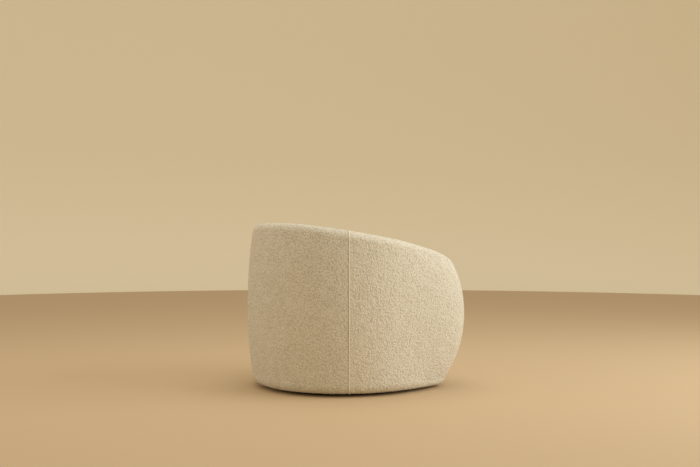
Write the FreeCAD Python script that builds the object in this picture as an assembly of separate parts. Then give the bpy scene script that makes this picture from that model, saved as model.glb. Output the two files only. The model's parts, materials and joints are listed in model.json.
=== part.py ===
import FreeCAD, Part
import math
import os
from FreeCAD import Vector

# Upholstered tub armchair that turns on a hidden round base.
# Millimetres. +Z is up, the back of the chair is towards +Y and the open front towards -Y.
# The origin is on the floor, under the middle of the chair.
# "turn" is an angle in degrees round the vertical axis: 0 is the middle of the back,
# 90 is the +X side, 180 is the middle of the front.

# ---------------------------------------------------------------- driving dimensions
HALF_WIDTH = 386.0
HALF_DEPTH = 410.0
BACK_SQUARENESS = 2.1
FRONT_SQUARENESS = 5.0

# The body narrows above and below its fullest height, by this share at 300 mm from it.
BULGE_REACH = 300.0
BULGE_POWER = 2.12
BACK_BULGE = 0.055
SIDE_BULGE = 0.041
FRONT_BULGE = 0.215
FRONT_BULGE_FROM = 0.78
FULLEST_AT_BACK = 341.0
FULLEST_AT_FRONT = 295.0

# The rim falls evenly from the back to the front and drops away over the front of the arms.
RIM_AT_BACK = 672.0
RIM_SLOPE = 129.0
RIM_DROP = 48.0
RIM_DROP_POWER = 6.5
RIM_EDGE = 32.0
RIM_SEAM_RISE = 30.0
RIM_FLAT = 3.0
RIM_SEAM_GAP = 2.0

HEM_HEIGHT = 12.0
HEM_ROUND = 40.0
HEM_TURN_UNDER = 62.0
HEM_END_RISE = 2.0
WADDING_LOW = HEM_HEIGHT + HEM_ROUND

# Inside of the seat, at the height of the seat deck, and how far it leans out per mm above.
INSIDE_HALF_WIDTH = 250.0
INSIDE_BACK_DEPTH = 232.0
INSIDE_SQUARENESS = 2.6
SIDE_LEAN = 0.045
BACK_LEAN = 0.14
DECK_TOP = 275.0
BORDER_TOP = 266.0

SEAM_TURN = 59.0
ARM_END_TURN = 140.0
ARM_PAD_TURN = 126.0
RAIL_END_TURN = 124.0
FACING_INSET = 0.4
FACING_GAP = 1.0
RIM_PAD_GAP = 3.0

# Panels that meet under the covers stop this many degrees short of their ends.
PANEL_SPARE = 0.1
BOARD_SPARE = 0.5

# ---------------------------------------------------------------- layers of the upholstery
GAP = 0.6
CLOTH = 2.0
WADDING = 9.4
BACKING = 3.0
PADDING = 35.0
SUPPORT = 3.0
FRONT_PADDING = 15.0
PLY = 18.0

RIM_LAYERS = CLOTH + 2 * GAP
OUT_WADDING = CLOTH + GAP
OUT_BACKING = OUT_WADDING + WADDING + 2 * GAP
OUT_FRAME = OUT_BACKING + BACKING + 2 * GAP
IN_PADDING = CLOTH + GAP
IN_SUPPORT = IN_PADDING + PADDING + GAP
IN_FRAME = IN_SUPPORT + SUPPORT + 2 * GAP

# ---------------------------------------------------------------- frame
BOARD_LOW = 16.4
BOARD_INSET = 28.0
BOARD_HOLE = 60.0
BOARD_HOLE_CIRCLE = 225.0
BOARD_HOLE_COUNT = 6
SEAT_FRAME_LOW = 218.0
SEAT_FRAME_TOP = SEAT_FRAME_LOW + PLY
PAD_LOW = SEAT_FRAME_TOP + 1.0
OPENING_HALF_WIDTH = 212.0
OPENING_FRONT = -318.0
OPENING_BACK = 140.0
OPENING_CORNER = 30.0
RAIL_HEIGHT = 55.0
RAIL_SPARE = 7.0
UPRIGHT_DEPTH = 60.0
UPRIGHT_SLACK = 1.0
BEHIND_RAIL = PLY + 2.0
LOWER_UPRIGHT_TURNS = (0, 42, 84, 122, 152, 208, 238, 276, 318)
UPPER_UPRIGHT_TURNS = (0, 40, 78, 100, 121, 239, 260, 282, 320)
FRONT_RAIL_LOW = 130.0
FRONT_RAIL_TURN = 34.0
CORNER_BLOCK = 32.0
CORNER_BLOCK_TURNS = (21, 63, 103, 257, 297, 339)

# ---------------------------------------------------------------- seat
SPRING_WIRE = 1.9
SPRING_WIDTH = 50.0
SPRING_ROWS = 21
SPRING_PITCH = 91.0
SPRING_COUNT = 5
SPRING_REST = 1.6
TIE_WIRE = 1.0
TIE_CLEARANCE = 0.2
TIE_ROWS = (-180.0, -75.0, 30.0)
CLIP_LENGTH = 26.0
CLIP_DEPTH = 14.0
CLIP_WIDTH = 12.0
CLIP_HEIGHT = 7.0
CLIP_CLEARANCE = 0.3
SPRING_HEIGHT = SEAT_FRAME_TOP + SPRING_REST + SPRING_WIRE
CLOTH_LOW = 247.0
CLOTH_THICK = 1.2
DECK_CLOTH = 1.6
DECK_MARGIN = 3.0
DECK_FRONT = 368.0
DECK_SQUARENESS = 6.0

CUSHION_LOW = 276.0
CUSHION_TOP = 428.0
CUSHION_MARGIN = 4.0
CUSHION_FRONT = 400.0
CUSHION_SQUARENESS = 8.0
CUSHION_EDGE = 26.0
ZIP_TURN = 38.0
ZIP_WIDTH = 9.0
ZIP_THICK = 1.2

# ---------------------------------------------------------------- swivel base
SWIVEL_Y = 20.0
PLINTH_RADIUS = 308.0
PLINTH_EDGE = 1.5
GLIDE_THICK = 2.0
GLIDE_RADIUS = 15.0
GLIDE_CIRCLE = 270.0
GLIDE_COUNT = 6
PLINTH_THICK = 7.0
PLATE_THICK = 1.6
PLATE_RADIUS = 140.0
BALL_RADIUS = 2.05
BALL_SPACE = 4.2
BALL_CIRCLE = 108.0
BALL_COUNT = 24
CAGE_HALF_WIDTH = 6.0
CAGE_THICK = 1.0
SCREW_RADIUS = 2.5
SCREW_HEAD_RADIUS = 5.0
SCREW_CLEARANCE = 0.15
SCREW_DEPTH = 5.0
HOLE_SPARE = 1.0
BOLT_CIRCLE = 80.0
BOLT_COUNT = 4
SCREW_CIRCLE = 126.0
SCREW_COUNT = 4
DUST_COVER_LOW = 12.8
DUST_COVER_THICK = 1.0
DUST_COVER_HOLE = 146.0
BOLT_HEAD = 3.0

PLINTH_TOP = GLIDE_THICK + PLINTH_THICK
BALL_LOW = PLINTH_TOP + PLATE_THICK
UPPER_PLATE_LOW = BALL_LOW + BALL_SPACE
SWIVEL_CENTRE = Vector(0, SWIVEL_Y, 0)
UP = Vector(0, 0, 1)


# ---------------------------------------------------------------- the shape of the chair
def superellipse(turn, half_x, half_y, squareness):
    """Distance from the axis to a rounded-square outline."""
    angle = math.radians(turn)
    along_x = (abs(math.sin(angle)) / half_x) ** squareness
    along_y = (abs(math.cos(angle)) / half_y) ** squareness
    return (along_x + along_y) ** (-1.0 / squareness)


def outer(turn, z):
    """Distance from the axis to the outside of the cover."""
    cosine = math.cos(math.radians(turn))
    behind = cosine > 0
    squareness = BACK_SQUARENESS if behind else FRONT_SQUARENESS
    if behind:
        end_share, end_bulge = cosine ** 2, BACK_BULGE
    else:
        nearness = min(-cosine / FRONT_BULGE_FROM, 1.0)
        end_share, end_bulge = nearness ** 2 * (3 - 2 * nearness), FRONT_BULGE
    bulge = end_bulge * end_share + SIDE_BULGE * (1 - end_share)
    fullest = FULLEST_AT_BACK + (FULLEST_AT_FRONT - FULLEST_AT_BACK) * (1 - cosine) / 2
    narrowing = bulge * abs((z - fullest) / BULGE_REACH) ** BULGE_POWER
    return superellipse(turn, HALF_WIDTH, HALF_DEPTH, squareness) * (1 - narrowing)


def inner(turn, z):
    """Distance from the axis to the inside of the back and arms."""
    rise = z - DECK_TOP
    half_width = INSIDE_HALF_WIDTH + SIDE_LEAN * rise
    if math.cos(math.radians(turn)) > 0:
        depth = INSIDE_BACK_DEPTH + BACK_LEAN * rise
        return superellipse(turn, half_width, depth, INSIDE_SQUARENESS)
    return half_width / abs(math.sin(math.radians(turn)))


def rim(turn):
    """Height of the top of the rim."""
    height = RIM_AT_BACK
    for _ in range(6):
        y = outer(turn, height - RIM_EDGE) * math.cos(math.radians(turn))
        share = min(max((HALF_DEPTH - y) / (2 * HALF_DEPTH), 0.0), 1.0)
        height = RIM_AT_BACK - RIM_SLOPE * share - RIM_DROP * share ** RIM_DROP_POWER
    return height


def spring_line(turn):
    """Height at which the sides start to curve over into the rim."""
    return rim(turn) - RIM_EDGE


def side_slant(turn):
    """Radial distance per mm of true thickness on the straight inside of the arms."""
    if math.cos(math.radians(turn)) > 0:
        return 1.0
    return 1.0 / abs(math.sin(math.radians(turn)))


def at(turn, radius, z):
    angle = math.radians(turn)
    return Vector(radius * math.sin(angle), radius * math.cos(angle), z)


def steps(first, last, count):
    return [first + (last - first) * i / (count - 1) for i in range(count)]


# ---------------------------------------------------------------- lines up and over the wall
def hem_lines(turn, inset):
    """From under the chair to the hem, and round the hem to the side."""
    centre_z = HEM_HEIGHT + HEM_ROUND
    centre = outer(turn, centre_z) - HEM_ROUND
    radius = HEM_ROUND - inset
    bend = []
    for angle in [math.radians(step) for step in steps(90, 0, 5)]:
        bend.append(at(turn, centre + radius * math.cos(angle), centre_z - radius * math.sin(angle)))
    end = at(turn, centre + HEM_ROUND - HEM_TURN_UNDER, HEM_HEIGHT + inset + HEM_END_RISE)
    return [[end, bend[0]], bend]


def outside_line(turn, inset, low, high, count):
    """Up the outside."""
    return [at(turn, outer(turn, z) - inset, z) for z in steps(low, high, count)]


def inside_line(turn, inset, low, high, count):
    """Up the inside, or down it where low is above high."""
    slant = inset * side_slant(turn)
    return [at(turn, inner(turn, z) + slant, z) for z in steps(low, high, count)]


def rim_point(turn, inset, bend):
    """On the rim: bend 0 is its outside, 90 its top and 180 its inside."""
    top = rim(turn)
    thickness = outer(turn, top) - inner(turn, top) - RIM_LAYERS * (1 + side_slant(turn))
    roundest = thickness / 2 - RIM_FLAT
    edge = (RIM_EDGE ** -4 + roundest ** -4) ** -0.25
    angle = math.radians(bend)
    z = top - RIM_EDGE + (RIM_EDGE - inset) * math.sin(angle)
    fall = edge * (1 - abs(math.cos(angle)))
    if bend < 90:
        return at(turn, outer(turn, z) - inset - fall, z)
    return at(turn, inner(turn, z) + inset * side_slant(turn) + fall, z)


def rim_lines(turn, inset, last_bend=180.0):
    """Round the outer edge of the rim, across its top and round its inner edge."""
    outer_edge = [rim_point(turn, inset, bend) for bend in steps(0, 89.9, 7)]
    inner_edge = [rim_point(turn, inset, bend) for bend in steps(90.1, last_bend, 7)]
    return [outer_edge, [outer_edge[-1], inner_edge[0]], inner_edge]


# ---------------------------------------------------------------- solids from lines
def spacing(points):
    """Share of the whole length passed at each point."""
    lengths = [0.0]
    for start, end in zip(points, points[1:]):
        lengths.append(lengths[-1] + start.distanceToPoint(end))
    return [length / lengths[-1] for length in lengths]


def curve(points, parameters):
    if len(points) == 2:
        return Part.makeLine(points[0], points[1])
    spline = Part.BSplineCurve()
    spline.interpolate(Points=points, Parameters=parameters)
    return spline.toShape()


def panel(turns, near, far=None):
    """A solid that sweeps round the chair between two chains of lines.

    near and far give, for a turn, a list of lines that follow each other. Without far, one
    straight line closes the section.
    """
    patterns = [spacing(line) for line in near(turns[0])]
    sections = []
    for turn in turns:
        one = near(turn)
        edges = [curve(line, pattern) for line, pattern in zip(one, patterns)]
        if far is None:
            edges.append(Part.makeLine(one[-1][-1], one[0][0]))
        else:
            other = far(turn)
            edges.append(Part.makeLine(one[-1][-1], other[-1][-1]))
            edges += [curve(line, pattern) for line, pattern in reversed(list(zip(other, patterns)))]
            edges.append(Part.makeLine(other[0][0], one[0][0]))
        sections.append(Part.Wire(edges))
    return Part.makeLoft(sections, True, False)


def closed_outline(radius_at, z, count=48):
    """A smooth closed wire round the axis."""
    points = [at(360.0 * i / count, radius_at(360.0 * i / count), z) for i in range(count)]
    spline = Part.BSplineCurve()
    spline.interpolate(Points=points, PeriodicFlag=True, Parameters=[i / count for i in range(count + 1)])
    return Part.Wire(spline.toShape())


def slab(radius_at, low, high):
    return Part.Face(closed_outline(radius_at, low)).extrude(Vector(0, 0, high - low))


def stack(radius_at, levels):
    """A solid through level outlines, each given as a height and an inset."""
    wires = [closed_outline(lambda turn, inset=inset: radius_at(turn) - inset, z) for z, inset in levels]
    return Part.makeLoft(wires, True, True)


def upright(turn, points):
    """A board that stands in the plane of a turn, half its thickness on each side."""
    face = Part.Face(Part.makePolygon(points + [points[0]]))
    across = at(turn + 90, PLY, 0)
    face.translate(across * -0.5)
    return face.extrude(across)


def cylinder(radius, height, centre):
    return Part.makeCylinder(radius, height, centre, UP)


def ring_of(count, circle, z, first=0.0):
    """Points evenly round the swivel axis."""
    places = []
    for i in range(count):
        angle = math.radians(first + 360.0 * i / count)
        places.append(SWIVEL_CENTRE + Vector(circle * math.cos(angle), circle * math.sin(angle), z))
    return places


def without(shape, tools):
    for tool in tools:
        shape = shape.cut(tool)
    return shape


def group(shapes):
    return Part.makeCompound(shapes)


# ---------------------------------------------------------------- swivel base
def plinth():
    board = cylinder(PLINTH_RADIUS, PLINTH_THICK, SWIVEL_CENTRE + UP * GLIDE_THICK)
    edges = [edge for edge in board.Edges if edge.Closed]
    board = board.makeFillet(PLINTH_EDGE, edges)
    holes = [
        cylinder(SCREW_RADIUS + SCREW_CLEARANCE, PLINTH_THICK, place)
        for place in ring_of(SCREW_COUNT, SCREW_CIRCLE, PLINTH_TOP - SCREW_DEPTH - HOLE_SPARE, 45)
    ]
    return without(board, holes)


def glides():
    places = ring_of(GLIDE_COUNT, GLIDE_CIRCLE, 0, 30)
    return group([cylinder(GLIDE_RADIUS, GLIDE_THICK, place) for place in places])


def lower_bearing_plate():
    plate = cylinder(PLATE_RADIUS, PLATE_THICK, SWIVEL_CENTRE + UP * PLINTH_TOP)
    plate = plate.cut(cylinder(BOLT_CIRCLE / 2, PLATE_THICK, SWIVEL_CENTRE + UP * PLINTH_TOP))
    holes = []
    for place in ring_of(SCREW_COUNT, SCREW_CIRCLE, PLINTH_TOP, 45):
        holes.append(
            Part.makeCone(
                SCREW_RADIUS + SCREW_CLEARANCE, SCREW_HEAD_RADIUS + SCREW_CLEARANCE, PLATE_THICK, place, UP
            )
        )
    return without(plate, holes)


def lower_plate_screws():
    screws = []
    for place in ring_of(SCREW_COUNT, SCREW_CIRCLE, PLINTH_TOP, 45):
        head = Part.makeCone(SCREW_RADIUS, SCREW_HEAD_RADIUS, PLATE_THICK, place, UP)
        shank = cylinder(SCREW_RADIUS, SCREW_DEPTH, place - UP * SCREW_DEPTH)
        screws.append(head.fuse(shank))
    return group(screws)


def bearing_balls():
    places = ring_of(BALL_COUNT, BALL_CIRCLE, BALL_LOW + BALL_SPACE / 2)
    return group([Part.makeSphere(BALL_RADIUS, place) for place in places])


def ball_cage():
    low = BALL_LOW + (BALL_SPACE - CAGE_THICK) / 2
    cage = cylinder(BALL_CIRCLE + CAGE_HALF_WIDTH, CAGE_THICK, SWIVEL_CENTRE + UP * low)
    cage = cage.cut(cylinder(BALL_CIRCLE - CAGE_HALF_WIDTH, CAGE_THICK, SWIVEL_CENTRE + UP * low))
    pockets = [
        cylinder(BALL_RADIUS + SCREW_CLEARANCE, CAGE_THICK, place)
        for place in ring_of(BALL_COUNT, BALL_CIRCLE, low)
    ]
    return without(cage, pockets)


def upper_bearing_plate():
    plate = cylinder(PLATE_RADIUS, PLATE_THICK, SWIVEL_CENTRE + UP * UPPER_PLATE_LOW)
    plate = plate.cut(cylinder(BOLT_CIRCLE / 2, PLATE_THICK, SWIVEL_CENTRE + UP * UPPER_PLATE_LOW))
    return without(plate, bolt_holes())


def bolt_holes():
    return [
        cylinder(SCREW_RADIUS + SCREW_CLEARANCE, PLATE_THICK + PLY + HOLE_SPARE, place)
        for place in ring_of(BOLT_COUNT, BOLT_CIRCLE, UPPER_PLATE_LOW)
    ]


def upper_plate_bolts():
    bolts = []
    for place in ring_of(BOLT_COUNT, BOLT_CIRCLE, UPPER_PLATE_LOW):
        shank = cylinder(SCREW_RADIUS, PLATE_THICK + PLY, place)
        head = cylinder(SCREW_HEAD_RADIUS, BOLT_HEAD, place + UP * (PLATE_THICK + PLY))
        bolts.append(shank.fuse(head))
    return group(bolts)


# ---------------------------------------------------------------- frame
def bottom_board():
    board = slab(lambda turn: outer(turn, WADDING_LOW) - BOARD_INSET, BOARD_LOW, BOARD_LOW + PLY)
    holes = [
        cylinder(BOARD_HOLE, PLY, place)
        for place in ring_of(BOARD_HOLE_COUNT, BOARD_HOLE_CIRCLE, BOARD_LOW, 30)
    ]
    return without(board, holes + bolt_holes())


def rounded_block(half_x, low_y, high_y, corner, low_z, high_z):
    block = Part.makeBox(2 * half_x, high_y - low_y, high_z - low_z, Vector(-half_x, low_y, low_z))
    return block.makeFillet(corner, [edge for edge in block.Edges if abs(edge.tangentAt(0).z) > 0.9])


def seat_frame():
    board = slab(lambda turn: outer(turn, SEAT_FRAME_LOW) - OUT_FRAME, SEAT_FRAME_LOW, SEAT_FRAME_TOP)
    low = SEAT_FRAME_LOW - HOLE_SPARE
    high = SEAT_FRAME_TOP + HOLE_SPARE
    opening = rounded_block(OPENING_HALF_WIDTH, OPENING_FRONT, OPENING_BACK, OPENING_CORNER, low, high)
    return board.cut(opening)


def board_allowance(radius_at, turn, z):
    """How far a wall slants across the thickness of a board that stands in the plane of a turn."""
    slope = (radius_at(turn + 1, z) - radius_at(turn - 1, z)) / math.radians(2)
    return abs(slope) / radius_at(turn, z) * PLY / 2 + UPRIGHT_SLACK


def lower_uprights():
    low = BOARD_LOW + PLY
    boards = []
    for turn in LOWER_UPRIGHT_TURNS:
        behind_rail = abs(turn - 180) < FRONT_RAIL_TURN
        inset = OUT_FRAME + board_allowance(outer, turn, low) + (BEHIND_RAIL if behind_rail else 0)
        outside = [at(turn, outer(turn, z) - inset, z) for z in steps(low, SEAT_FRAME_LOW, 5)]
        foot = outer(turn, low) - inset - UPRIGHT_DEPTH
        boards.append(upright(turn, outside + [at(turn, foot, SEAT_FRAME_LOW), at(turn, foot, low)]))
    return group(boards)


def upper_uprights():
    boards = []
    for turn in UPPER_UPRIGHT_TURNS:
        high = spring_line(turn) - RAIL_HEIGHT - RAIL_SPARE
        heights = steps(SEAT_FRAME_TOP, high, 6)
        out_inset = OUT_FRAME + board_allowance(outer, turn, high)
        outside = [at(turn, outer(turn, z) - out_inset, z) for z in heights]
        slant = IN_FRAME * side_slant(turn) + board_allowance(inner, turn, high)
        inside = [at(turn, inner(turn, z) + slant, z) for z in reversed(heights)]
        boards.append(upright(turn, outside + inside))
    return group(boards)


def top_rail():
    def outside(turn):
        high = spring_line(turn) - RIM_PAD_GAP
        return [outside_line(turn, OUT_FRAME, high - RAIL_HEIGHT, high, 3)]

    def inside(turn):
        high = spring_line(turn) - RIM_PAD_GAP
        return [outside_line(turn, OUT_FRAME + PLY, high - RAIL_HEIGHT, high, 3)]

    return panel(steps(-RAIL_END_TURN, RAIL_END_TURN, 27), outside, inside)


def front_rail():
    def line(inset):
        return lambda turn: [outside_line(turn, inset, FRONT_RAIL_LOW, SEAT_FRAME_LOW - GAP, 4)]

    turns = steps(180 - FRONT_RAIL_TURN, 180 + FRONT_RAIL_TURN, 9)
    return panel(turns, line(OUT_FRAME), line(OUT_FRAME + PLY))


def corner_blocks():
    low = BOARD_LOW + PLY
    blocks = []
    for turn in CORNER_BLOCK_TURNS:
        reach = outer(turn, low) - OUT_FRAME - board_allowance(outer, turn, low) - CORNER_BLOCK
        points = [
            at(turn, reach, low),
            at(turn, reach + CORNER_BLOCK, low),
            at(turn, reach + CORNER_BLOCK, low + CORNER_BLOCK),
        ]
        blocks.append(upright(turn, points))
    return group(blocks)


def backing_board():
    def line(inset):
        return lambda turn: [outside_line(turn, inset, BOARD_LOW + PLY, spring_line(turn) - RIM_PAD_GAP, 8)]

    turns = steps(-ARM_END_TURN + BOARD_SPARE, ARM_END_TURN - BOARD_SPARE, 49)
    return panel(turns, line(OUT_BACKING), line(OUT_BACKING + BACKING))


def support_board():
    def line(inset):
        def lines(turn):
            return [inside_line(turn, inset, SEAT_FRAME_TOP, spring_line(turn) - RAIL_HEIGHT - RAIL_SPARE, 4)]

        return lines

    return panel(steps(-RAIL_END_TURN, RAIL_END_TURN, 29), line(IN_SUPPORT), line(IN_SUPPORT + SUPPORT))


# ---------------------------------------------------------------- seat
def spring_path(x, z):
    """A wire that runs across, turns back and runs across again, from front to back."""
    first = OPENING_FRONT - CLIP_DEPTH / 2
    pitch = (OPENING_BACK - OPENING_FRONT + CLIP_DEPTH) / SPRING_ROWS
    bend = pitch / 2
    reach = SPRING_WIDTH / 2 - bend
    edges = []
    for row in range(SPRING_ROWS + 1):
        y = first + row * pitch
        side = 1 if row % 2 == 0 else -1
        edges.append(Part.makeLine(Vector(x - side * reach, y, z), Vector(x + side * reach, y, z)))
        if row < SPRING_ROWS:
            start = Vector(x + side * reach, y, z)
            middle = Vector(x + side * (reach + bend), y + bend, z)
            end = Vector(x + side * reach, y + pitch, z)
            edges.append(Part.Arc(start, middle, end).toShape())
    return Part.Wire(edges)


def seat_springs():
    springs = []
    for i in range(SPRING_COUNT):
        x = (i - (SPRING_COUNT - 1) / 2) * SPRING_PITCH
        path = spring_path(x, SPRING_HEIGHT)
        start = path.Edges[0].firstVertex().Point
        section = Part.Wire(Part.makeCircle(SPRING_WIRE, start, Vector(1, 0, 0)))
        springs.append(path.makePipeShell([section], True, False))
    return group(springs)


def spring_clips():
    half = CLIP_DEPTH / 2
    clips = []
    for i in range(SPRING_COUNT):
        x = (i - (SPRING_COUNT - 1) / 2) * SPRING_PITCH
        for y in (OPENING_FRONT - half, OPENING_BACK + half):
            corner = Vector(x - CLIP_LENGTH / 2, y - CLIP_WIDTH / 2, SEAT_FRAME_TOP)
            block = Part.makeBox(CLIP_LENGTH, CLIP_WIDTH, CLIP_HEIGHT, corner)
            end = Vector(x - CLIP_LENGTH / 2, y, SPRING_HEIGHT)
            bore = Part.makeCylinder(SPRING_WIRE + CLIP_CLEARANCE, CLIP_LENGTH, end, Vector(1, 0, 0))
            clips.append(block.cut(bore))
    return group(clips)


def tie_wires():
    z = SPRING_HEIGHT + SPRING_WIRE + TIE_WIRE + TIE_CLEARANCE
    reach = 2 * SPRING_PITCH + SPRING_WIDTH / 2
    return group(
        [Part.makeCylinder(TIE_WIRE, 2 * reach, Vector(-reach, y, z), Vector(1, 0, 0)) for y in TIE_ROWS]
    )


def deck_radius(turn):
    if math.cos(math.radians(turn)) > 0:
        return inner(turn, CLOTH_LOW) - DECK_MARGIN
    half_width = inner(90, CLOTH_LOW) - DECK_MARGIN
    return superellipse(turn, half_width, DECK_FRONT, DECK_SQUARENESS)


def spring_cover_cloth():
    return slab(deck_radius, CLOTH_LOW, CLOTH_LOW + CLOTH_THICK)


def seat_deck_pad():
    return slab(deck_radius, CLOTH_LOW + CLOTH_THICK + GAP, DECK_TOP - DECK_CLOTH - GAP)


def deck_cloth():
    return slab(deck_radius, DECK_TOP - DECK_CLOTH, DECK_TOP)


# ---------------------------------------------------------------- padding of the back and arms
def zones():
    """The back, the -X arm and the +X arm, each as a first and a last turn."""
    return {
        "back": (-SEAM_TURN, SEAM_TURN),
        "left": (-ARM_END_TURN, -SEAM_TURN),
        "right": (SEAM_TURN, ARM_END_TURN),
    }


def zone_turns(zone, spare=0.0, furthest=ARM_END_TURN):
    """Turns through a zone, a little short of its ends, and no further round than asked."""
    first, last = zones()[zone]
    first = max(first, -furthest)
    last = min(last, furthest)
    return steps(first + spare, last - spare, 13)


def wadding(zone):
    def line(inset):
        return lambda turn: [outside_line(turn, inset, WADDING_LOW, spring_line(turn) - RIM_PAD_GAP, 8)]

    return panel(zone_turns(zone, PANEL_SPARE), line(OUT_WADDING), line(OUT_WADDING + WADDING))


def inside_pad(zone):
    def line(inset):
        def lines(turn):
            return [inside_line(turn, inset, PAD_LOW, spring_line(turn) - RIM_PAD_GAP, 6)]

        return lines

    return panel(zone_turns(zone, PANEL_SPARE, ARM_PAD_TURN), line(IN_PADDING), line(IN_PADDING + PADDING))


def arm_front_pad(side):
    """The block of foam that fills the front end of an arm."""
    def outside(turn):
        high = spring_line(turn) - RIM_PAD_GAP
        return [outside_line(turn, OUT_FRAME, PAD_LOW, high, 6)]

    def inside(turn):
        high = spring_line(turn) - RIM_PAD_GAP
        return [inside_line(turn, IN_PADDING, PAD_LOW, high, 6)]

    turns = steps(side * (ARM_PAD_TURN + PANEL_SPARE), side * (ARM_END_TURN - PANEL_SPARE), 5)
    return panel(turns, outside, inside)


def rim_pad():
    turns = sorted(set(zone_turns("left") + zone_turns("back") + zone_turns("right")))
    turns[0] += PANEL_SPARE
    turns[-1] -= PANEL_SPARE
    return panel(turns, lambda turn: rim_lines(turn, RIM_LAYERS))


def front_border_pad():
    def line(inset):
        return lambda turn: [outside_line(turn, inset, WADDING_LOW, BORDER_TOP - FACING_GAP, 7)]

    turns = steps(ARM_END_TURN + BOARD_SPARE, 360 - ARM_END_TURN - BOARD_SPARE, 11)
    return panel(turns, line(OUT_WADDING), line(OUT_WADDING + FRONT_PADDING - 2 * GAP))


# ---------------------------------------------------------------- covers
def outside_cover(zone):
    """From under the hem, up the outside and over the rim to the inside seam."""
    def line(inset):
        def lines(turn):
            side = outside_line(turn, inset, WADDING_LOW, spring_line(turn), 9)
            return hem_lines(turn, inset) + [side] + rim_lines(turn, inset, 180 - RIM_SEAM_RISE)

        return lines

    return panel(zone_turns(zone), line(0), line(CLOTH))


def inside_cover(zone):
    """From the seam inside the rim down behind the seat deck."""
    def line(inset):
        def lines(turn):
            bends = steps(180 - RIM_SEAM_RISE + RIM_SEAM_GAP, 180, 4)
            edge = [rim_point(turn, inset, bend) for bend in bends]
            return [edge, inside_line(turn, inset, spring_line(turn), PAD_LOW, 6)]

        return lines

    return panel(zone_turns(zone), line(0), line(CLOTH))


def arm_front_cover(side):
    """The narrow facing that closes the front end of an arm."""
    turn = side * ARM_END_TURN
    low = BORDER_TOP + FACING_GAP
    outline = outside_line(turn, FACING_INSET, low, spring_line(turn) - FACING_GAP, 6)
    for line in rim_lines(turn, FACING_INSET):
        outline += line[:-1]
    outline += inside_line(turn, FACING_INSET, spring_line(turn), low, 5)
    face = Part.Face(Part.makePolygon(outline + [outline[0]]))
    return face.extrude(at(turn + side * 90, CLOTH, 0))


def front_border_cover():
    def line(inset):
        def lines(turn):
            return hem_lines(turn, inset) + [outside_line(turn, inset, WADDING_LOW, BORDER_TOP, 8)]

        return lines

    return panel(steps(ARM_END_TURN, 360 - ARM_END_TURN, 11), line(0), line(CLOTH))


def dust_cover():
    top = DUST_COVER_LOW + DUST_COVER_THICK
    cloth = slab(lambda turn: outer(turn, WADDING_LOW) - HEM_TURN_UNDER - HEM_END_RISE, DUST_COVER_LOW, top)
    return cloth.cut(cylinder(DUST_COVER_HOLE, top, SWIVEL_CENTRE))


# ---------------------------------------------------------------- loose seat cushion
def cushion_radius(turn):
    half_width = INSIDE_HALF_WIDTH - CUSHION_MARGIN
    if math.cos(math.radians(turn)) > 0:
        return superellipse(turn, half_width, INSIDE_BACK_DEPTH - CUSHION_MARGIN, INSIDE_SQUARENESS)
    return superellipse(turn, half_width, CUSHION_FRONT, CUSHION_SQUARENESS)


def cushion_solid(inset):
    """A thick pad with rounded upper and lower edges."""
    low = CUSHION_LOW + inset
    high = CUSHION_TOP - inset
    levels = []
    for angle in [math.radians(step) for step in steps(0, 90, 6)]:
        rise = CUSHION_EDGE * (1 - math.cos(angle))
        levels.append((low + rise, inset + CUSHION_EDGE * (1 - math.sin(angle))))
    levels += [(high + low - z, in_from_edge) for z, in_from_edge in reversed(levels)]
    return stack(cushion_radius, levels)


def cushion_cover():
    return cushion_solid(0).cut(cushion_solid(CLOTH))


def cushion_core():
    return cushion_solid(CLOTH + GAP)


def cushion_zip():
    middle = (CUSHION_LOW + CUSHION_TOP) / 2

    def line(proud):
        def lines(turn):
            radius = cushion_radius(turn) + proud
            return [[at(turn, radius, middle + rise) for rise in (-ZIP_WIDTH / 2, ZIP_WIDTH / 2)]]

        return lines

    return panel(steps(-ZIP_TURN, ZIP_TURN, 9), line(GAP + ZIP_THICK), line(GAP))


# ---------------------------------------------------------------- all the pieces
PIECES = {
    "plinth": plinth,
    "glides": glides,
    "lower_bearing_plate": lower_bearing_plate,
    "lower_plate_screws": lower_plate_screws,
    "bearing_balls": bearing_balls,
    "ball_cage": ball_cage,
    "upper_bearing_plate": upper_bearing_plate,
    "upper_plate_bolts": upper_plate_bolts,
    "bottom_board": bottom_board,
    "lower_uprights": lower_uprights,
    "corner_blocks": corner_blocks,
    "seat_frame": seat_frame,
    "upper_uprights": upper_uprights,
    "top_rail": top_rail,
    "front_rail": front_rail,
    "backing_board": backing_board,
    "support_board": support_board,
    "seat_springs": seat_springs,
    "spring_clips": spring_clips,
    "tie_wires": tie_wires,
    "spring_cover_cloth": spring_cover_cloth,
    "seat_deck_pad": seat_deck_pad,
    "deck_cloth": deck_cloth,
    "back_wadding": lambda: wadding("back"),
    "left_wadding": lambda: wadding("left"),
    "right_wadding": lambda: wadding("right"),
    "rim_pad": rim_pad,
    "inside_back_pad": lambda: inside_pad("back"),
    "inside_left_pad": lambda: inside_pad("left"),
    "inside_right_pad": lambda: inside_pad("right"),
    "left_arm_front_pad": lambda: arm_front_pad(-1),
    "right_arm_front_pad": lambda: arm_front_pad(1),
    "front_border_pad": front_border_pad,
    "outside_back_cover": lambda: outside_cover("back"),
    "outside_left_cover": lambda: outside_cover("left"),
    "outside_right_cover": lambda: outside_cover("right"),
    "inside_back_cover": lambda: inside_cover("back"),
    "inside_left_cover": lambda: inside_cover("left"),
    "inside_right_cover": lambda: inside_cover("right"),
    "left_arm_front_cover": lambda: arm_front_cover(-1),
    "right_arm_front_cover": lambda: arm_front_cover(1),
    "front_border_cover": front_border_cover,
    "dust_cover": dust_cover,
    "cushion_core": cushion_core,
    "cushion_cover": cushion_cover,
    "cushion_zip": cushion_zip,
}


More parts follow.
